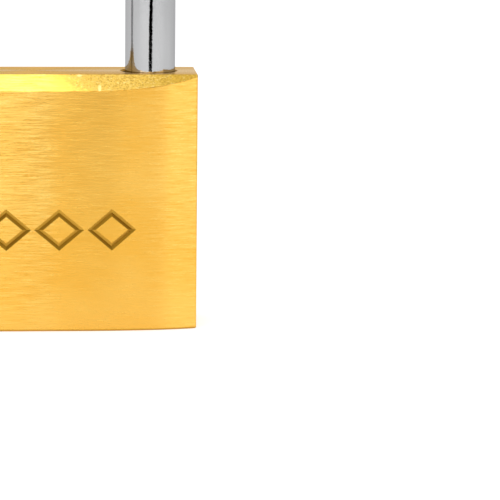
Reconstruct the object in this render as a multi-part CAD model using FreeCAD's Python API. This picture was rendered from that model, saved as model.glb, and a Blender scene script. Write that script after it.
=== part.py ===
"""A 50 mm solid-brass padlock with a chrome-plated steel shackle, as separate pieces.

Millimetres. +Z is up and the body stands on z = 0, +X runs along its width and -Y is its engraved front.
The stored state is closed and unlocked: the shackle is down, and the core is half a turn from home, so that
the drive cam holds both bolts back. The toe is the shackle's short leg (+X) and the heel its long one (-X).
"""

import FreeCAD
import Part

import math
import os

V = FreeCAD.Vector
ORIGIN = V(0, 0, 0)
X_DIR, Y_DIR, Z_DIR = V(1, 0, 0), V(0, 1, 0), V(0, 0, 1)
PAST = 1.0  # how far a cutting shape runs on past the face that it cuts

# Body block
BODY_W = 50.0
BODY_H = 39.0
TOP_D = 11.5  # depth of the flat top, between its two bevels
SIDE_STEP = 0.4  # how far the front stands before the flat top's edge, at the sides
CROWN = 2.0  # how much further it stands out in the middle
CROWN_POWER = 3.7  # the front is flat in the middle and falls away towards the sides
CROWN_STEPS = 20
CORNER_R = 0.4
EDGE_R = 0.15
FOOT_R = 0.25
SIDE_D = TOP_D + 2 * SIDE_STEP
BODY_D = SIDE_D + 2 * CROWN

# Shackle and the two holes that it stands in
BAR_R = 3.85
LEG_X = 18.0
LEG_HOLE_X = 17.8
LEG_HOLE_R = 4.15
LEG_HOLE_CHAMFER = 0.25
INSIDE_HEIGHT = 28.0  # from the body's top to the inside of the bow
BOW_Z = BODY_H + INSIDE_HEIGHT - (LEG_X - BAR_R)
LIFT = 13.0
TOE_END_Z = 27.4
TOE_HOLE_Z = TOE_END_Z - 1.2
TOE_CHAMFER = 0.7
HEEL_CHAMFER = 0.35

# Bolts, which slide along X in one cross bore
BOLT_Z = 33.8
BOLT_BORE_R = 3.0
BOLT_R = 2.95
BOLT_GAP = 0.3  # between a drawn-back bolt and its leg
BOLT_TRAVEL = 2.0
BOLT_INNER_X = 0.5
BOLT_TIP_X = LEG_X - BAR_R - BOLT_GAP
BOLT_CHAMFER = 0.45
BOLT_BORE_END_X = -(BOLT_TIP_X + BOLT_TRAVEL + 0.4)
NOTCH_DEPTH = 1.9
NOTCH_H = 2 * BOLT_BORE_R + 0.6
BOLT_PIN_R = 0.6
BOLT_PIN_X = 1.7
BOLT_PIN_Z = (BOLT_Z - 4.3, BOLT_Z - 1.5)
BOLT_PIN_CHAMFER = 0.12

# Retaining pins, pressed in from the back
RETAINER_END_Y = -4.0
RETAINER_SUNK = 0.25
RETAINER_CHAMFER = 0.15

# Heel: a neck that passes the retaining pin, and a collar that the pin stops
STOP_PIN_R = 1.0
STOP_PIN_X = -(LEG_X - BAR_R)
STOP_PIN_Z = 25.0
STOP_PIN_PLAY = 0.05
NECK_R = 2.6
NECK_LOW_Z = STOP_PIN_Z - STOP_PIN_R - STOP_PIN_PLAY - LIFT
NECK_Z = (NECK_LOW_Z, STOP_PIN_Z + STOP_PIN_R + 0.3)
COLLAR_H = 3.0
HEEL_END_Z = NECK_LOW_Z - COLLAR_H
HEEL_HOLE_Z = 1.8
SPIGOT_R = 2.3
SPIGOT_H = 1.5
SPIGOT_CHAMFER = 0.3
SPRING_PLAY = 0.03  # at each end of every spring
SHACKLE_SPRING = {"mean_r": 3.0, "wire_r": 0.35, "turns": 5.5}

# Core, cam and the bore that they turn in
CORE_BORE_R = 6.0
CORE_R = 5.95
CORE_Z = (0.25, 25.6)
CORE_CHAMFER = 0.2
CORE_BORE_TOP = BOLT_Z - BOLT_BORE_R + 0.2
CAM_Z = (CORE_Z[1] + 0.1, BOLT_Z - BOLT_BORE_R - 0.05)
CAM_CHAMFER = 0.2
CAM_GROOVE_DEPTH = 1.45
CAM_GROOVE_PLAY = 0.05
CAM_GROOVE_STEPS = 12
TONGUE = (9.0, 2.6, 1.6)
TONGUE_PLAY = 0.1
KEY_BACK_X = -4.6  # ends of the keyway, with the core at home
KEY_EDGE_X = 3.4
KEY_SLOT_W = 2.4
KEY_WARD = 0.75
KEY_STEPS = (0.28, 0.52)  # where the two wards begin, as parts of the keyway's width
KEYWAY_TOP = 24.7
LEAD_IN_R = 9.0
LEAD_IN_DEPTH = 0.45
CORE_GROOVE_R = 5.0
CORE_GROOVE_H = 1.8
CORE_PIN_R = 0.8
CORE_PIN_X = -6.1
CORE_PIN_Z = 2.7

# Pin stacks, all drilled from the toe side and numbered from the bottom
PIN_Z = [6.0 + 3.9 * i for i in range(5)]
KEY_CUTS = [1, 3, 0, 2, 1]  # depth steps of the matching key
CUT_STEP = 0.6
KEY_TOP_X = 3.2  # an uncut key's edge
CHAMBER_R = 1.5
CHAMBER_END_X = 0.45
PIN_R = 1.45
KEY_PIN_END_X = 5.75
KEY_PIN_CHAMFER = 0.15
KEY_POINT_L = 0.8
KEY_POINT_R = 0.45
DRIVER_X = 6.02
DRIVER_L = 5.0
DRIVER_CHAMFER = 0.2
DRIVER_WAIST_R = 1.05
DRIVER_RIM_L = 1.2
PIN_SPRING = {"mean_r": 1.1, "wire_r": 0.16, "turns": 9.5}
CHAMBER_PLUG_L = 4.5
BOLT_BORE_PLUG_L = 3.0
PRESS_PLAY = 0.01
PLUG_RIM = 0.08

# Engraved band: a row of plain diamonds cut with a V-shaped tool
BAND_Z = 15.6
DIAMOND_W = 6.2
DIAMOND_H = 5.2
DIAMOND_PITCH = 8.0
DIAMOND_COUNT = 4
GROOVE_W = 0.95
GROOVE_DEPTH = 0.42


def front_depth(x):
    """Distance from the middle plane to the body's front or back face at x."""
    u = min(abs(x) / (BODY_W / 2), 1.0)
    return SIDE_D / 2 + CROWN * (1 - u**CROWN_POWER)


def rod(radius, start, direction, length):
    """A cylinder from start along direction."""
    return Part.makeCylinder(radius, length, start, direction)


def rod_z(radius, x, z_low, z_high):
    return rod(radius, V(x, 0, z_low), Z_DIR, z_high - z_low)


def centred_box(size, low_centre):
    """A box standing on low_centre, the middle of its lower face."""
    corner = low_centre - V(size[0] / 2, size[1] / 2, 0)
    return Part.makeBox(size[0], size[1], size[2], corner)


def half_turn(shape):
    """The core group is drawn at home and stored half a turn on."""
    turned = shape.copy()
    turned.rotate(ORIGIN, Z_DIR, 180)
    return turned


def crowned_wire():
    """The body's plan: crowned front and back, straight sides."""
    xs = [BODY_W * (i / CROWN_STEPS - 0.5) for i in range(CROWN_STEPS + 1)]
    front = Part.BSplineCurve()
    front.interpolate([V(x, -front_depth(x), 0) for x in xs])
    back = Part.BSplineCurve()
    back.interpolate([V(x, front_depth(x), 0) for x in reversed(xs)])
    right = Part.makeLine(front.EndPoint, back.StartPoint)
    left = Part.makeLine(back.EndPoint, front.StartPoint)
    return Part.Wire([front.toShape(), right, back.toShape(), left])


def is_upright(edge):
    return edge.BoundBox.ZLength > BODY_H / 2


def top_bevel(side):
    """The wedge that bevels the top's front (side -1) or back (side 1) edge at 45 degrees."""
    inner_y = side * TOP_D / 2
    outer_y = inner_y + side * BODY_D
    low_z, high_z = BODY_H - BODY_D, BODY_H + BODY_D
    corners = [V(-BODY_W, y, z) for y, z in
               ((inner_y, BODY_H), (outer_y, low_z), (outer_y, high_z), (inner_y, high_z))]
    face = Part.Face(Part.makePolygon(corners + corners[:1]))
    return face.extrude(V(2 * BODY_W, 0, 0))


def body_block():
    block = Part.Face(crowned_wire()).extrude(V(0, 0, BODY_H))
    block = block.makeFillet(CORNER_R, [e for e in block.Edges if is_upright(e)])
    block = block.cut([top_bevel(-1), top_bevel(1)]).removeSplitter()
    block = block.makeFillet(FOOT_R, [e for e in block.Edges if e.BoundBox.ZMax < FOOT_R])
    level = [e for e in block.Edges if e.BoundBox.ZMin > BODY_H / 2]
    return block.makeFillet(EDGE_R, level)


def diamond(grow_by, y):
    """One diamond outline at depth y, each edge moved outwards by grow_by."""
    half_w, half_h = DIAMOND_W / 2, DIAMOND_H / 2
    slope = math.hypot(half_w, half_h)
    a = half_w + grow_by * slope / half_h
    b = half_h + grow_by * slope / half_w
    corners = [V(a, y, 0), V(0, y, b), V(-a, y, 0), V(0, y, -b)]
    return Part.makePolygon(corners + corners[:1])


def diamond_groove():
    """The V-shaped ring that a pointed cutter leaves along a diamond, its mouth on the plane y = 0."""
    spare = 0.25  # the mouth goes on outwards, clear of the face
    reach = GROOVE_W / 2 * (1 + spare / GROOVE_DEPTH)
    outer = Part.makeLoft([diamond(reach, -spare), diamond(0, GROOVE_DEPTH)], True, True)
    inner = Part.makeLoft([diamond(-reach, -spare), diamond(0, GROOVE_DEPTH)], True, True)
    return outer.cut(inner)


def engraved_band():
    """The diamonds, each laid on the crowned front where it stands."""
    band = []
    for i in range(DIAMOND_COUNT):
        x = (i - (DIAMOND_COUNT - 1) / 2) * DIAMOND_PITCH
        fall = (front_depth(x - GROOVE_W) - front_depth(x + GROOVE_W)) / (2 * GROOVE_W)
        groove = diamond_groove()
        groove.rotate(ORIGIN, Z_DIR, math.degrees(math.atan(fall)))
        groove.translate(V(x, -front_depth(x), BAND_Z))
        band.append(groove)
    return band


def leg_hole(x, bottom_z):
    """A shackle leg's hole with its 45 degree mouth."""
    hole = rod_z(LEG_HOLE_R, x, bottom_z, BODY_H + PAST)
    mouth_h = LEG_HOLE_CHAMFER + PAST
    mouth_low = V(x, 0, BODY_H - LEG_HOLE_CHAMFER)
    mouth = Part.makeCone(LEG_HOLE_R, LEG_HOLE_R + mouth_h, mouth_h, mouth_low)
    return hole.fuse(mouth)


def retainer_hole(radius, x, z):
    """A blind hole along Y from the back face, a little deeper than its pin."""
    start = V(x, RETAINER_END_Y - 0.2, z)
    return rod(radius + PRESS_PLAY, start, Y_DIR, front_depth(x) + PAST - start.y)


def retaining_pin(radius, x, z):
    """A pin pressed into its hole until it stands just below the back face."""
    start = V(x, RETAINER_END_Y, z)
    pin = rod(radius, start, Y_DIR, front_depth(x) - RETAINER_SUNK - start.y)
    return soften_ends(pin, RETAINER_CHAMFER)


def lock_body():
    drill_x = BODY_W / 2 + PAST
    holes = [
        leg_hole(LEG_HOLE_X, TOE_HOLE_Z),
        leg_hole(-LEG_HOLE_X, HEEL_HOLE_Z),
        rod_z(CORE_BORE_R, 0, -PAST, CORE_BORE_TOP),
        rod(BOLT_BORE_R, V(BOLT_BORE_END_X, 0, BOLT_Z), X_DIR, drill_x - BOLT_BORE_END_X),
        retainer_hole(CORE_PIN_R, CORE_PIN_X, CORE_PIN_Z),
        retainer_hole(STOP_PIN_R, STOP_PIN_X, STOP_PIN_Z),
    ]
    for z in PIN_Z:
        inner_x = CORE_BORE_R - PAST
        holes.append(rod(CHAMBER_R, V(inner_x, 0, z), X_DIR, drill_x - inner_x))
    return body_block().cut(holes + engraved_band())


def core_retaining_pin():
    return retaining_pin(CORE_PIN_R, CORE_PIN_X, CORE_PIN_Z)


def shackle_retaining_pin():
    return retaining_pin(STOP_PIN_R, STOP_PIN_X, STOP_PIN_Z)


def soften_ends(cylinder, size):
    """Chamfers a cylinder's two round edges."""
    round_edges = [e for e in cylinder.Edges if isinstance(e.Curve, Part.Circle)]
    return cylinder.makeChamfer(size, round_edges)


def shackle_bar():
    """The bent round bar: a half-ring bow on two straight legs."""
    bow = Part.makeTorus(LEG_X, BAR_R, ORIGIN, Z_DIR, -180, 180, 180)
    bow.rotate(ORIGIN, X_DIR, 90)
    bow.translate(V(0, 0, BOW_Z))
    toe = chamfer_low_end(rod_z(BAR_R, LEG_X, TOE_END_Z, BOW_Z), TOE_CHAMFER)
    heel = chamfer_low_end(rod_z(BAR_R, -LEG_X, HEEL_END_Z, BOW_Z), HEEL_CHAMFER)
    return bow.fuse([toe, heel]).removeSplitter()


def chamfer_low_end(upright_rod, size):
    middle = upright_rod.CenterOfMass.z
    ends = [e for e in upright_rod.Edges if e.BoundBox.ZMax < middle]
    return upright_rod.makeChamfer(size, ends)


def notch(side):
    """The slot milled across a leg's inner face for its bolt."""
    inner_x = LEG_X - BAR_R - PAST
    width = NOTCH_DEPTH + PAST
    middle = V(side * (inner_x + width / 2), 0, BOLT_Z - NOTCH_H / 2)
    return centred_box((width, 4 * BAR_R, NOTCH_H), middle)


def shackle():
    """The bar with its neck, its two notches and the spigot that centres the spring."""
    neck_ring = rod_z(BAR_R + PAST, -LEG_X, *NECK_Z).cut(rod_z(NECK_R, -LEG_X, *NECK_Z))
    spigot = rod_z(SPIGOT_R, -LEG_X, HEEL_END_Z - SPIGOT_H, HEEL_END_Z)
    spigot = chamfer_low_end(spigot, SPIGOT_CHAMFER)
    return shackle_bar().cut([neck_ring, notch(1), notch(-1)]).fuse(spigot)


def coil(spring, start, length):
    """A round-wire compression spring along +Z from start, with its wire inside that length."""
    wire_r = spring["wire_r"]
    height = length - 2 * wire_r
    helix = Part.makeHelix(height / spring["turns"], height, spring["mean_r"])
    section = Part.Wire(Part.makeCircle(wire_r, V(spring["mean_r"], 0, 0), Y_DIR))
    made = Part.Wire(helix.Edges).makePipeShell([section], True, True)
    made.translate(start + V(0, 0, wire_r))
    return made


def shackle_spring():
    start = V(-LEG_HOLE_X, 0, HEEL_HOLE_Z + SPRING_PLAY)
    return coil(SHACKLE_SPRING, start, HEEL_END_Z - HEEL_HOLE_Z - 2 * SPRING_PLAY)


def keyway():
    """The key's slot, with one ward standing into it from each side."""
    w, ward = KEY_SLOT_W / 2, KEY_WARD
    back, edge = KEY_BACK_X, KEY_EDGE_X
    step_a, step_b = [back + part * (edge - back) for part in KEY_STEPS]
    outline = [(back, -w), (step_b, -w), (step_b + ward, -w + ward), (edge, -w + ward)]
    outline += [(edge, w), (step_a + ward, w), (step_a, w - ward), (back, w - ward)]
    low_z = CORE_Z[0] - PAST
    corners = [V(x, y, low_z) for x, y in outline]
    face = Part.Face(Part.makePolygon(corners + corners[:1]))
    return face.extrude(V(0, 0, KEYWAY_TOP - low_z))


def cylinder_core():
    """The core: keyway with a dished mouth, retaining groove, five chambers and the cam's tongue."""
    core = soften_ends(rod_z(CORE_R, 0, *CORE_Z), CORE_CHAMFER)
    mouth_x = (KEY_BACK_X + KEY_EDGE_X) / 2
    lead_in = Part.makeSphere(LEAD_IN_R, V(mouth_x, 0, CORE_Z[0] + LEAD_IN_DEPTH - LEAD_IN_R))
    groove_z = (CORE_PIN_Z - CORE_GROOVE_H / 2, CORE_PIN_Z + CORE_GROOVE_H / 2)
    groove = rod_z(CORE_R + PAST, 0, *groove_z).cut(rod_z(CORE_GROOVE_R, 0, *groove_z))
    cuts = [keyway(), lead_in, groove]
    for z in PIN_Z:
        cuts.append(rod(CHAMBER_R, V(CHAMBER_END_X, 0, z), X_DIR, CORE_R))
    tongue = centred_box(TONGUE, V(0, 0, CORE_Z[1]))
    return half_turn(core.cut(cuts).fuse(tongue).removeSplitter())


def cam_groove():
    """A spiral slot through half a turn, in which a bolt's pin moves BOLT_TRAVEL evenly with the angle."""
    half_width = BOLT_PIN_R + CAM_GROOVE_PLAY
    rate = BOLT_TRAVEL / math.pi

    def beside(angle, offset):
        radius = BOLT_PIN_X + rate * angle
        along, out = V(-math.sin(angle), math.cos(angle), 0), V(math.cos(angle), math.sin(angle), 0)
        tangent = out * rate + along * radius
        normal = V(tangent.y, -tangent.x, 0).normalize()
        return out * radius + normal * offset

    def cap(angle, bulge):
        middle = beside(angle, 0)
        side = beside(angle, half_width) - middle
        tip = V(-side.y, side.x, 0) * bulge
        return Part.Arc(middle + side, middle + tip, middle - side).toShape()

    angles = [math.pi * i / CAM_GROOVE_STEPS for i in range(CAM_GROOVE_STEPS + 1)]
    outer, inner = Part.BSplineCurve(), Part.BSplineCurve()
    outer.interpolate([beside(a, half_width) for a in angles])
    inner.interpolate([beside(a, -half_width) for a in angles])
    edges = [outer.toShape(), cap(angles[-1], 1), inner.toShape(), cap(angles[0], -1)]
    face = Part.Face(Part.Wire(Part.__sortEdges__(edges)))
    slot = face.extrude(V(0, 0, CAM_GROOVE_DEPTH + PAST))
    slot.translate(V(0, 0, CAM_Z[1] - CAM_GROOVE_DEPTH))
    return slot


def drive_cam():
    """A disc on the core's tongue, with one spiral groove for each bolt's pin; drawn as stored."""
    disc = soften_ends(rod_z(CORE_R, 0, *CAM_Z), CAM_CHAMFER)
    slot_size = (2 * CORE_R + 2 * PAST, TONGUE[1] + TONGUE_PLAY, TONGUE[2] + TONGUE_PLAY + PAST)
    slot = centred_box(slot_size, V(0, 0, CAM_Z[0] - PAST))
    return disc.cut([slot, cam_groove(), half_turn(cam_groove())])


def bolt():
    """The toe bolt, drawn back; the heel bolt is the same piece turned round."""
    round_bar = rod(BOLT_R, V(BOLT_INNER_X, 0, BOLT_Z), X_DIR, BOLT_TIP_X - BOLT_INNER_X)
    pin_hole = rod_z(BOLT_PIN_R + PRESS_PLAY, BOLT_PIN_X, BOLT_PIN_Z[0], BOLT_PIN_Z[1] + 0.1)
    return soften_ends(round_bar, BOLT_CHAMFER).cut(pin_hole)


def bolt_pin():
    return soften_ends(rod_z(BOLT_PIN_R, BOLT_PIN_X, *BOLT_PIN_Z), BOLT_PIN_CHAMFER)


def key_pin(index):
    """A key pin with its point on the key and its other end at the shear line."""
    point_x = KEY_TOP_X - CUT_STEP * KEY_CUTS[index]
    barrel_x = point_x + KEY_POINT_L
    z = PIN_Z[index]
    barrel = rod(PIN_R, V(barrel_x, 0, z), X_DIR, KEY_PIN_END_X - barrel_x)
    outer_end = [e for e in barrel.Edges if e.BoundBox.XMin > barrel.CenterOfMass.x]
    barrel = barrel.makeChamfer(KEY_PIN_CHAMFER, outer_end)
    point = Part.makeCone(KEY_POINT_R, PIN_R, KEY_POINT_L, V(point_x, 0, z), X_DIR)
    return half_turn(barrel.fuse(point).removeSplitter())


def driver_pin(index):
    """A driver; every second one is waisted like a spool, against picking."""
    start = V(DRIVER_X, 0, PIN_Z[index])
    pin = soften_ends(rod(PIN_R, start, X_DIR, DRIVER_L), DRIVER_CHAMFER)
    if index % 2 == 0:
        return pin
    waist = (start + X_DIR * DRIVER_RIM_L, X_DIR, DRIVER_L - 2 * DRIVER_RIM_L)
    return pin.cut(rod(PIN_R + PAST, *waist).cut(rod(DRIVER_WAIST_R, *waist)))


def pin_spring(index):
    start_x = DRIVER_X + DRIVER_L + SPRING_PLAY
    length = BODY_W / 2 - CHAMBER_PLUG_L - start_x - SPRING_PLAY
    made = coil(PIN_SPRING, ORIGIN, length)
    made.rotate(ORIGIN, Y_DIR, 90)
    made.translate(V(start_x, 0, PIN_Z[index]))
    return made


def side_plug(radius, length, z):
    """A brass plug pressed in from the toe side and ground flush, its rim just broken."""
    start = V(BODY_W / 2 - length, 0, z)
    plug = rod(radius - PRESS_PLAY, start, X_DIR, length)
    return soften_ends(plug, PLUG_RIM)


def chamber_plugs():
    return Part.makeCompound([side_plug(CHAMBER_R, CHAMBER_PLUG_L, z) for z in PIN_Z])


def bolt_bore_plug():
    return side_plug(BOLT_BORE_R, BOLT_BORE_PLUG_L, BOLT_Z)


def nodes():
    """Every node's name and shape."""
    made = {
        "lock_body": lock_body(),
        "shackle": shackle(),
        "cylinder_core": cylinder_core(),
        "drive_cam": drive_cam(),
        "toe_bolt": bolt(),
        "toe_bolt_pin": bolt_pin(),
        "heel_bolt": half_turn(bolt()),
        "heel_bolt_pin": half_turn(bolt_pin()),
        "core_retaining_pin": core_retaining_pin(),
        "shackle_retaining_pin": shackle_retaining_pin(),
        "shackle_spring": shackle_spring(),
        "chamber_plugs": chamber_plugs(),
        "bolt_bore_plug": bolt_bore_plug(),
    }
    for i in range(len(PIN_Z)):
        made[f"key_pin_{i + 1}"] = key_pin(i)
        made[f"driver_pin_{i + 1}"] = driver_pin(i)
        made[f"pin_spring_{i + 1}"] = pin_spring(i)
    return made


def main():
    os.makedirs("parts", exist_ok=True)
    for name, shape in nodes().items():
        if not shape.isValid():
            raise ValueError(f"{name} is not a valid shape")
        shape.exportStep(f"parts/{name}.step")
        print(f"{name}: {len(shape.Solids)} solid(s), {shape.Volume:.2f} mm3")


main()
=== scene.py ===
"""Looks for the padlock: a material for every piece, copies of the springs, studio light, floor and camera.

Metres, in the row's frame: +Z up, the lock stands on z = 0, its engraved front faces -Y and its toe is at +X.
Inside the materials, places on a piece are in millimetres.
"""

import math

import bpy
from mathutils import Matrix, Vector

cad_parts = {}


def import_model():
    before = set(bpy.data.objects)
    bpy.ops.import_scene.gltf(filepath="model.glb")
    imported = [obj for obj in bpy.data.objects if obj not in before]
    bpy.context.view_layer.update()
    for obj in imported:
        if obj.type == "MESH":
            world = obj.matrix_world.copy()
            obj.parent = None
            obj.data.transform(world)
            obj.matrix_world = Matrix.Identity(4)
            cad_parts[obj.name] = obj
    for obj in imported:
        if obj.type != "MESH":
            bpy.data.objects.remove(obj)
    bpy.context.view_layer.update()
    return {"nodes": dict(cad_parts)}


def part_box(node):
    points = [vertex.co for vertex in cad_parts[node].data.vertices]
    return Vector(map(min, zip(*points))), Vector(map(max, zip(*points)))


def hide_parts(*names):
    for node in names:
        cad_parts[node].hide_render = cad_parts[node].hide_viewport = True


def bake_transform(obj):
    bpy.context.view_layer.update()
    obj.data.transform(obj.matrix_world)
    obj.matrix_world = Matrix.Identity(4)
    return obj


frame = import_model()
_, body_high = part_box("lock_body")
MM = 0.001
WHITE = (1.0, 1.0, 1.0)
BLACK = (0.0, 0.0, 0.0)


# ---------------------------------------------------------------- node graphs

class Graph:
    """A material's node tree, with short calls for the nodes that the materials below share."""

    def __init__(self, name):
        self.material = bpy.data.materials.new(name)
        self.material.use_nodes = True
        self.tree = self.material.node_tree
        self.tree.nodes.clear()
        self.output = self.node("ShaderNodeOutputMaterial")
        self.coords = self.node("ShaderNodeTexCoord")

    def node(self, kind, **settings):
        made = self.tree.nodes.new(kind)
        for key, value in settings.items():
            setattr(made, key, value)
        return made

    def put(self, socket, value):
        """Links a socket to another, or sets its number, colour or vector."""
        if isinstance(value, bpy.types.NodeSocket):
            self.tree.links.new(value, socket)
        else:
            socket.default_value = value

    def math(self, operation, *values):
        made = self.node("ShaderNodeMath", operation=operation)
        for socket, value in zip(made.inputs, values):
            self.put(socket, value)
        return made.outputs[0]

    def plus(self, a, b):
        return self.math("ADD", a, b)

    def minus(self, a, b):
        return self.math("SUBTRACT", a, b)

    def times(self, first, *others):
        product = first
        for other in others:
            product = self.math("MULTIPLY", product, other)
        return product

    def absolute(self, value):
        return self.math("ABSOLUTE", value)

    def position(self):
        """x, y and z in millimetres, in the piece's own frame."""
        scaled = self.node("ShaderNodeVectorMath", operation="SCALE")
        self.put(scaled.inputs[0], self.coords.outputs["Object"])
        scaled.inputs["Scale"].default_value = 1 / MM
        split = self.node("ShaderNodeSeparateXYZ")
        self.put(split.inputs[0], scaled.outputs[0])
        return split.outputs

    def normal(self):
        """x, y and z of the surface normal, in the piece's own frame."""
        split = self.node("ShaderNodeSeparateXYZ")
        self.put(split.inputs[0], self.coords.outputs["Normal"])
        return split.outputs

    def vector(self, x, y, z):
        made = self.node("ShaderNodeCombineXYZ")
        for socket, value in zip(made.inputs, (x, y, z)):
            self.put(socket, value)
        return made.outputs[0]

    def scaled(self, axes, factors):
        return self.vector(*[self.times(axis, factor) for axis, factor in zip(axes, factors)])

    def distance_to(self, a, b, centre, stretch=(1.0, 1.0)):
        """Distance of (a, b) from a centre, with each direction stretched."""
        made = self.node("ShaderNodeVectorMath", operation="LENGTH")
        steps = [self.times(self.minus(value, middle), by)
                 for value, middle, by in zip((a, b), centre, stretch)]
        self.put(made.inputs[0], self.vector(*steps, 0.0))
        return made.outputs["Value"]

    def noise(self, at, detail, roughness):
        made = self.node("ShaderNodeTexNoise")
        self.put(made.inputs["Vector"], at)
        made.inputs["Scale"].default_value = 1.0
        made.inputs["Detail"].default_value = detail
        made.inputs["Roughness"].default_value = roughness
        return made.outputs["Fac"]

    def pebbles(self, at):
        """Distance to the nearest of many scattered points."""
        made = self.node("ShaderNodeTexVoronoi", feature="F1")
        self.put(made.inputs["Vector"], at)
        made.inputs["Scale"].default_value = 1.0
        return made.outputs["Distance"]

    def span(self, value, low, high, to_low=0.0, to_high=1.0, smooth=True):
        """Maps low..high of a value to to_low..to_high, held at both ends."""
        made = self.node("ShaderNodeMapRange", interpolation_type="SMOOTHSTEP" if smooth else "LINEAR")
        self.put(made.inputs["Value"], value)
        for key, number in (("From Min", low), ("From Max", high), ("To Min", to_low), ("To Max", to_high)):
            made.inputs[key].default_value = number
        return made.outputs[0]

    def fall(self, value, low, high):
        """1 up to low, and 0 from high on."""
        return self.span(value, low, high, 1.0, 0.0)

    def blend(self, factor, a, b):
        """Numbers a to b by factor."""
        made = self.node("ShaderNodeMix", data_type="FLOAT")
        for socket, value in zip(made.inputs[:1] + made.inputs[2:4], (factor, a, b)):
            self.put(socket, value)
        return made.outputs[0]

    def mix(self, factor, a, b):
        """Colours a to b by factor."""
        made = self.node("ShaderNodeMix", data_type="RGBA")
        ends = [socket for socket in made.inputs if socket.type == "RGBA"]
        for socket, value in zip(made.inputs[:1] + ends, (factor, a, b)):
            self.put(socket, (*value, 1.0) if isinstance(value, tuple) else value)
        return next(socket for socket in made.outputs if socket.type == "RGBA")

    def bump(self, height, depth, strength=1.0, below=None):
        """The normal of a relief that is `depth` millimetres deep, over another one where there is one."""
        made = self.node("ShaderNodeBump")
        made.inputs["Strength"].default_value = strength
        made.inputs["Distance"].default_value = depth * MM
        self.put(made.inputs["Height"], height)
        if below is not None:
            self.put(made.inputs["Normal"], below)
        return made.outputs[0]

    def metal(self, colour, roughness, normal, edge=WHITE):
        """Ends the graph in bare metal that turns towards `edge` at a glancing view."""
        made = self.node("ShaderNodeBsdfPrincipled")
        made.inputs["Metallic"].default_value = 1.0
        made.inputs["Specular Tint"].default_value = (*edge, 1.0)
        self.put(made.inputs["Base Color"], colour)
        self.put(made.inputs["Roughness"], roughness)
        self.put(made.inputs["Normal"], normal)
        self.put(self.output.inputs["Surface"], made.outputs[0])
        return made


# ---------------------------------------------------------------- the body's brass

# The body in millimetres, as the CAD model has it.
HALF_WIDTH = body_high.x / MM
SIDE_DEPTH = 6.15  # from the lock's middle plane to the front's side edges
CROWN = 2.0  # how much further the front stands out in its middle
CROWN_POWER = 3.7
BAND_Z = 15.6  # middle of the engraved band
BAND_HALF = 4.0  # the engraving lies within this of it
BEVEL_Z = 37.8  # halfway up a bevel, where it is deepest
BEVEL_FOOT_Z = 33.0  # a height that all of the bevels' lower edges are above
LEG_HOLE_X = 17.8
LEG_MOUTH_RADIUS = 4.4

BRASS = (0.835, 0.436, 0.054)
BRASS_PALE = (0.91, 0.60, 0.150)
BRASS_DEEP = (0.75, 0.365, 0.040)
BRASS_GROUND = (0.88, 0.575, 0.112)
BRASS_OLIVE = (0.66, 0.41, 0.058)
# colour of the painted glints and painted highlight spots on the bevels
PAINTED_GLINT = (1.0, 0.80, 0.30)
BRASS_EDGE = (1.0, 0.90, 0.62)
# ink in the grooves, in a painted-light tone and a painted-shade tone
INK_WITH_PAINTED_LIGHT = (0.66, 0.38, 0.05)
INK_WITH_PAINTED_SHADE = (0.31, 0.17, 0.015)
# dirt in the pits of the bevels' ground grain, and painted shade under the bevels and in the leg holes
DIRT_AND_PAINTED_SHADE = (0.42, 0.20, 0.02)
# painted contact shadow along the foot
FOOT_PAINTED_SHADOW = (0.30, 0.14, 0.004)

BRUSHED_ANISOTROPY = 0.93
QUARTER_TURN = 0.25  # stretches the highlights across the scratches instead of along them


def brushing(g, along, across):
    """Straight scratches along one direction, broken into short strokes; about 0.5 in the middle."""
    def layer(stretch, rate, seed):
        at = g.vector(g.times(along, stretch), seed, g.times(across, rate))
        return g.noise(at, detail=2.0, roughness=0.55)
    scratches = g.blend(0.35, layer(0.26, 7.5, seed=0.0), layer(0.17, 3.6, seed=5.0))
    strokes = g.span(layer(1.8, 6.0, seed=9.0), 0.38, 0.62, 0.1, 1.8)
    return g.plus(g.times(g.minus(scratches, 0.5), strokes), 0.5)


def engraved(g, x, y, z):
    """1 on the walls of the engraved grooves, from how far they lie behind the crowned front."""
    sideways = g.math("POWER", g.math("DIVIDE", g.absolute(x), HALF_WIDTH), CROWN_POWER)
    face = g.plus(g.times(g.minus(1.0, sideways), CROWN), SIDE_DEPTH)
    behind = g.span(g.plus(face, y), 0.02, 0.06)
    in_band = g.fall(g.absolute(g.minus(z, BAND_Z)), BAND_HALF, BAND_HALF + 0.1)
    in_front = g.fall(y, -6.5, -6.4)
    return g.times(behind, in_band, in_front)


def painted_highlight_spots(g, x, z, front):
    """1 on two small spots in the front bevel, which get a painted highlight."""
    lower = g.fall(g.distance_to(x, z, centre=(10.1, 37.1), stretch=(1.0, 0.55)), 0.18, 0.32)
    upper = g.fall(g.distance_to(x, z, centre=(7.1, 38.8), stretch=(0.6, 1.6)), 0.16, 0.32)
    return g.times(g.math("MAXIMUM", lower, upper), front)


def streaked(g, x, z, nx, flat, front, brush):
    """Brass in streaks that are calmer in the front's middle, low down, on the sides and on the flat top."""
    middle = g.times(g.span(x, 0.5, 5.5), g.span(x, 14.0, 22.0, 1.0, 0.3), front)
    contrast = g.times(g.span(middle, 0.0, 1.0, 1.0, 0.3),
                       g.span(z, 6.0, 22.0, 0.55, 1.0),
                       g.span(g.absolute(nx), 0.6, 0.9, 1.0, 0.45))
    contrast = g.blend(flat, contrast, 0.4)
    streaks = g.mix(g.span(brush, 0.38, 0.62, smooth=False), BRASS_DEEP, BRASS_PALE)
    return g.mix(contrast, BRASS, streaks)


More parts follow.
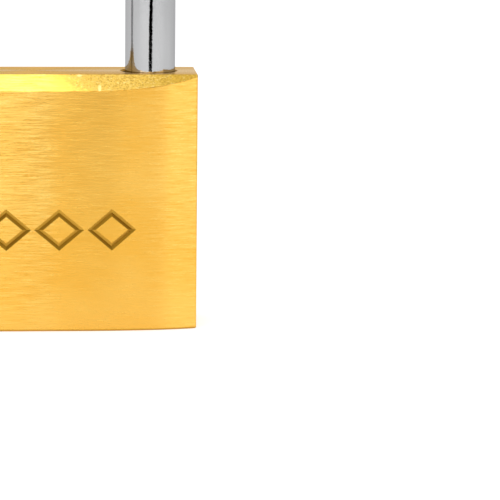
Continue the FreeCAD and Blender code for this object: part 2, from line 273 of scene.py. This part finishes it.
def worked_bevel(g, colour, x, speckle, grit, grain, rough_half, highlight_spots):
    """The colour with the bevels' ground half over it, olive towards +X, and grime, painted glints and
    painted highlight spots.
    """
    deepens = g.span(g.plus(x, g.times(speckle, 4.0)), 15.0, 25.0)
    colour = g.mix(rough_half, colour, g.mix(deepens, BRASS_GROUND, BRASS_OLIVE))
    grime = g.times(g.span(grain, 0.34, 0.52, 0.45, 0.0), rough_half)
    colour = g.mix(grime, colour, DIRT_AND_PAINTED_SHADE)
    # painted glints: bright specks on the ground half, together with the painted highlight spots
    glints = g.times(g.span(grit, 0.54, 0.66, 0.0, 0.7), rough_half)
    return g.mix(g.math("MAXIMUM", glints, highlight_spots), colour, PAINTED_GLINT)


def painted_shade(g, colour, at, nz, speckle):
    """The colour with painted shade under the bevels and in the leg holes, and a painted shadow along the
    foot.
    """
    x, y, z = at
    # painted shade: a speckled dark line where the bevels meet the faces below them
    under_bevel_shade = g.times(g.span(nz, 0.06, 0.2), g.fall(nz, 0.35, 0.55),
                          g.span(z, BEVEL_FOOT_Z, BEVEL_FOOT_Z + 1.0))
    colour = g.mix(g.times(under_bevel_shade, g.span(speckle, 0.5, 0.62, 0.15, 0.9)), colour, DIRT_AND_PAINTED_SHADE)
    # painted shade: the walls of the leg holes darkened, where the shackle's legs stand in them
    from_hole = g.distance_to(g.absolute(x), y, centre=(LEG_HOLE_X, 0.0))
    hole_wall_shade = g.fall(from_hole, LEG_MOUTH_RADIUS - 0.02, LEG_MOUTH_RADIUS + 0.06)
    colour = g.mix(g.times(hole_wall_shade, g.span(z, 0.5, 1.0)), colour, DIRT_AND_PAINTED_SHADE)
    # painted contact shadow: the lowest 0.4 mm of the body darkened, but not its flat underside
    foot = g.times(g.span(z, 0.10, 0.42, 0.75, 0.0), g.span(nz, -0.95, -0.85))
    return g.mix(foot, colour, FOOT_PAINTED_SHADOW)


def brushed_brass():
    """The body: brushed along its width, bevels polished and then ground towards +X, engraving inked, with
    painted light and shade on the groove walls.
    """
    g = Graph("brushed_brass")
    at = g.position()
    x, y, z = at
    nx, _, nz = g.normal()
    flat = g.span(g.absolute(nz), 0.85, 0.95)
    front = g.fall(y, -1.0, 1.0)
    brush = brushing(g, along=g.plus(x, g.times(y, 0.6)), across=g.blend(flat, z, y))
    cloud = g.noise(g.scaled(at, (0.06, 0.06, 0.10)), detail=2.0, roughness=0.5)
    speckle = g.noise(g.scaled(at, (0.8, 0.8, 2.2)), detail=4.0, roughness=0.7)

    # The ground half of a bevel begins at a ragged line that leans with the height.
    bevel = g.times(g.span(nz, 0.55, 0.62), g.fall(nz, 0.80, 0.86))
    ragged_x = g.plus(g.plus(x, g.minus(z, BEVEL_Z)), g.times(speckle, 5.0))
    rough_half = g.times(bevel, g.span(ragged_x, 4.4, 14.0))
    grit = g.noise(g.scaled(at, (1.8, 3.0, 3.0)), detail=3.0, roughness=0.8)
    grain = g.blend(0.5, g.pebbles(g.scaled(at, (3.0, 3.6, 3.6))), grit)

    colour = streaked(g, x, z, nx, flat, front, brush)
    colour = g.mix(g.span(cloud, 0.35, 0.7, 0.0, 0.3), colour, BRASS_PALE)
    colour = worked_bevel(g, colour, x, speckle, grit, grain, rough_half, painted_highlight_spots(g, x, z, front))
    colour = painted_shade(g, colour, at, nz, speckle)
    ink = engraved(g, x, y, z)
    # painted light and shade: the ink is lighter on groove walls turned down or towards +X, darker on walls
    # turned up or towards -X
    facing = g.span(g.minus(g.times(nz, 0.8), g.times(nx, 0.5)), -0.25, 0.25)
    colour = g.mix(ink, colour, g.mix(facing, INK_WITH_PAINTED_LIGHT, INK_WITH_PAINTED_SHADE))

    scratches = g.bump(g.blend(ink, brush, 0.5), depth=0.008)
    normal = g.bump(g.times(grain, rough_half), depth=0.09, below=scratches)
    roughness = g.blend(bevel, g.span(brush, 0.3, 0.7, 0.21, 0.28), g.blend(rough_half, 0.17, 0.36))
    roughness = g.blend(ink, roughness, 0.5)
    shader = g.metal(colour, roughness, normal, BRASS_EDGE)
    shader.inputs["Anisotropic"].default_value = BRUSHED_ANISOTROPY
    shader.inputs["Anisotropic Rotation"].default_value = QUARTER_TURN
    round_z = g.node("ShaderNodeTangent", direction_type="RADIAL", axis="Z")
    g.put(shader.inputs["Tangent"], round_z.outputs[0])
    return g.material


# ---------------------------------------------------------------- the other metals

CHROME_DARK = (0.400, 0.402, 0.406)
CHROME_LIGHT = (0.438, 0.438, 0.442)
CHROME_EDGE = (0.66, 0.66, 0.67)


def chrome():
    """Bright plating over drawn bar: nearly a mirror, with faint lengthwise draw marks and ripples."""
    g = Graph("shackle_chrome")
    at = g.position()
    haze = g.noise(g.scaled(at, (0.25, 0.25, 0.05)), detail=3.0, roughness=0.5)
    draw = g.noise(g.scaled(at, (2.6, 2.6, 0.25)), detail=3.0, roughness=0.6)
    ripple = g.noise(g.scaled(at, (1.1, 1.1, 1.7)), detail=3.0, roughness=0.7)
    colour = g.mix(g.span(haze, 0.3, 0.7), CHROME_DARK, CHROME_LIGHT)
    roughness = g.span(draw, 0.3, 0.7, 0.03, 0.07)
    marks = g.bump(draw, depth=0.004)
    g.metal(colour, roughness, g.bump(ripple, depth=0.010, below=marks), CHROME_EDGE)
    return g.material


def turned(name, colour, dark, roughness, axis):
    """Turned metal, with fine rings round an axis."""
    g = Graph(name)
    at = g.position()
    along = at["XYZ".index(axis)]
    rings = g.noise(g.vector(0.0, 0.0, g.times(along, 7.0)), detail=3.0, roughness=0.6)
    cloud = g.noise(g.scaled(at, (0.3, 0.3, 0.3)), detail=2.0, roughness=0.5)
    tone = g.mix(g.span(g.blend(0.5, rings, cloud), 0.35, 0.65), dark, colour)
    rough = g.span(rings, 0.3, 0.7, roughness * 0.8, roughness * 1.2)
    g.metal(tone, rough, g.bump(rings, depth=0.01, strength=0.5))
    return g.material


NUMBERED = range(1, 6)
INNER_METALS = (
    # name, colour, darker colour, roughness, axis of the rings, nodes
    ("core_brass", (0.80, 0.50, 0.12), (0.66, 0.38, 0.08), 0.28, "Z",
     ["cylinder_core"]),
    ("plug_brass", (0.82, 0.47, 0.09), (0.72, 0.40, 0.07), 0.30, "Y",
     ["chamber_plugs", "bolt_bore_plug"]),
    ("pin_brass", (0.80, 0.50, 0.12), (0.62, 0.37, 0.09), 0.22, "X",
     ["toe_bolt", "heel_bolt", *[f"key_pin_{i}" for i in NUMBERED]]),
    ("pin_nickel_silver", (0.62, 0.60, 0.52), (0.45, 0.44, 0.38), 0.20, "X",
     [f"driver_pin_{i}" for i in NUMBERED]),
    ("inner_steel", (0.50, 0.50, 0.51), (0.36, 0.36, 0.37), 0.30, "Z",
     ["drive_cam", "toe_bolt_pin", "heel_bolt_pin", "core_retaining_pin", "shackle_retaining_pin"]),
    ("spring_steel", (0.52, 0.53, 0.55), (0.38, 0.38, 0.40), 0.25, "Z",
     ["shackle_spring", *[f"pin_spring_{i}" for i in NUMBERED]]),
)


def assign(material, names):
    for name in names:
        for slot in frame["nodes"][name].material_slots:
            slot.material = material


assign(brushed_brass(), ["lock_body"])
assign(chrome(), ["shackle"])
for name, colour, dark, roughness, axis, nodes in INNER_METALS:
    assign(turned(name, colour, dark, roughness, axis), nodes)


# ---------------------------------------------------------------- springs

def add(name, data):
    """A new object in the scene."""
    made = bpy.data.objects.new(name, data)
    bpy.context.scene.collection.objects.link(made)
    return made


def spring(node):
    """A copy of a spring's mesh, put in the scene in place of the piece, which is hidden."""
    piece = add(node + "_coil", frame["nodes"][node].data.copy())
    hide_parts(node)
    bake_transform(piece)


spring("shackle_spring")
for i in NUMBERED:
    spring(f"pin_spring_{i}")


# ---------------------------------------------------------------- floor and world

FLOOR_HALF = 4.0
FLOOR_Z = -0.05 * MM  # a hair under the lock's base
FLOOR_TONE = (0.72, 0.72, 0.72)
FLOOR_GLOW = 0.52
WORLD_STRENGTH = 0.75


def sheet(name, corners, material):
    """A flat four-cornered piece of the stage."""
    mesh = bpy.data.meshes.new(name)
    mesh.from_pydata(corners, [], [(0, 1, 2, 3)])
    mesh.materials.append(material)
    return add(name, mesh)


def floor_material():
    """Pale, with a soft glow; its back lets light through, so that the lock's underside can be seen."""
    material = bpy.data.materials.new("pale_floor")
    material.use_nodes = True
    tree = material.node_tree
    shader = tree.nodes["Principled BSDF"]
    shader.inputs["Base Color"].default_value = (*FLOOR_TONE, 1.0)
    shader.inputs["Emission Color"].default_value = (*WHITE, 1.0)
    shader.inputs["Emission Strength"].default_value = FLOOR_GLOW
    shader.inputs["Roughness"].default_value = 0.9
    shader.inputs["Specular IOR Level"].default_value = 0.1
    facing = tree.nodes.new("ShaderNodeNewGeometry").outputs["Backfacing"]
    clear = tree.nodes.new("ShaderNodeBsdfTransparent")
    mixed = tree.nodes.new("ShaderNodeMixShader")
    for socket, source in zip(mixed.inputs, (facing, shader.outputs[0], clear.outputs[0])):
        tree.links.new(source, socket)
    tree.links.new(mixed.outputs[0], tree.nodes["Material Output"].inputs["Surface"])
    return material


def floor():
    signs = ((-1, -1), (1, -1), (1, 1), (-1, 1))
    corners = [(x * FLOOR_HALF, y * FLOOR_HALF, FLOOR_Z) for x, y in signs]
    made = sheet("floor", corners, floor_material())


def world():
    made = bpy.data.worlds.new("studio")
    made.use_nodes = True
    background = made.node_tree.nodes["Background"]
    background.inputs["Color"].default_value = (*WHITE, 1.0)
    background.inputs["Strength"].default_value = WORLD_STRENGTH
    bpy.context.scene.world = made
    bpy.context.scene.view_settings.view_transform = "Standard"


# ---------------------------------------------------------------- lamps and cards

BOX_DISTANCE = 0.8
BOX_TOP = 0.75
CARD_HEIGHT = 0.056
CARDS_FACE = (0.018, 0, 0.030)  # inside the body, in line with the toe leg


def lamp(name, place, width, height, radiance):
    """A lit rectangle, as bright as its radiance says whatever its size, that the camera doesn't see."""
    light = bpy.data.lights.new(name, "AREA")
    light.shape = "RECTANGLE"
    light.size = width
    light.size_y = height
    light.energy = radiance * math.pi * light.size * light.size_y
    made = add(name, light)
    made.location = place
    made.visible_camera = False
    return made


def softbox(name, from_deg, to_deg, low, radiance):
    """An upright lamp in front of the lock, between two bearings from -Y towards +X, facing the lock."""
    start, end = [Vector((math.sin(bearing), -math.cos(bearing), 0)) * BOX_DISTANCE
                  for bearing in (math.radians(from_deg), math.radians(to_deg))]
    middle = (start + end) / 2
    place = middle + Vector((0, 0, (low + BOX_TOP) / 2))
    made = lamp(name, place, (end - start).length, BOX_TOP - low, radiance)
    made.rotation_euler = (-middle).to_track_quat("-Z", "Y").to_euler()


def emission(name, colour, strength):
    material = bpy.data.materials.new(name)
    material.use_nodes = True
    tree = material.node_tree
    tree.nodes.clear()
    glow = tree.nodes.new("ShaderNodeEmission")
    glow.inputs["Color"].default_value = (*colour, 1.0)
    glow.inputs["Strength"].default_value = strength
    out = tree.nodes.new("ShaderNodeOutputMaterial")
    tree.links.new(glow.outputs[0], out.inputs["Surface"])
    return material


def card(name, material, centre, width, lean=0.0):
    """A flat stage card that shows in reflections only; `lean` pushes its top and foot opposite ways."""
    w, h = width / 2, CARD_HEIGHT / 2
    corners = [(-w - lean, -h, 0), (w - lean, -h, 0), (w + lean, h, 0), (-w + lean, h, 0)]
    made = sheet(name, corners, material)
    made.location = centre
    made.rotation_euler = (Vector(CARDS_FACE) - Vector(centre)).to_track_quat("Z", "Y").to_euler()
    made.visible_camera = False
    made.visible_diffuse = False
    made.visible_shadow = False


floor()
world()
softbox("left_softbox", -48, 1.5, low=0.02, radiance=1.38)
softbox("middle_softbox", 2.2, 12, low=0.10, radiance=0.72)
softbox("right_softbox", 23, 62, low=0.02, radiance=0.93)
lamp("top_softbox", (-0.06, -0.10, 0.9), width=0.34, height=0.40, radiance=2.02)
card("dark_gap", emission("black_card", BLACK, 0.0), (0.027, -0.30, 0.030), width=0.080, lean=-0.026)
card("light_strip", emission("light_card", WHITE, 1.35), (0.18, -0.26, 0.030), width=0.05)


# ---------------------------------------------------------------- camera

CAMERA_PLACE = (-0.0001, -0.4208, 0.0813)
CAMERA_YAW = math.radians(3.32)
CAMERA_PITCH = math.radians(9.45)
CAMERA_ROLL = math.radians(0.40)
LENS = 198.8
SENSOR_WIDTH = 36
LENS_SHIFT = 0.12
NEAREST = 0.01


def camera():
    """A long lens a little above the lock, turned and shifted so that the lock stands left of the middle."""
    yaw, pitch, roll = CAMERA_YAW, CAMERA_PITCH, CAMERA_ROLL
    ahead = Vector((math.sin(yaw) * math.cos(pitch), math.cos(yaw) * math.cos(pitch), -math.sin(pitch)))
    right = Vector((math.cos(yaw), -math.sin(yaw), 0))
    up = right.cross(ahead)
    rolled_right = right * math.cos(roll) + up * math.sin(roll)
    rolled_up = up * math.cos(roll) - right * math.sin(roll)
    data = bpy.data.cameras.new("camera")
    data.lens = LENS
    data.sensor_width = SENSOR_WIDTH
    data.shift_x = LENS_SHIFT
    data.clip_start = NEAREST
    made = add("camera", data)
    axes = Matrix((rolled_right, rolled_up, -ahead)).transposed().to_4x4()
    made.matrix_world = Matrix.Translation(CAMERA_PLACE) @ axes
    bpy.context.scene.camera = made


camera()
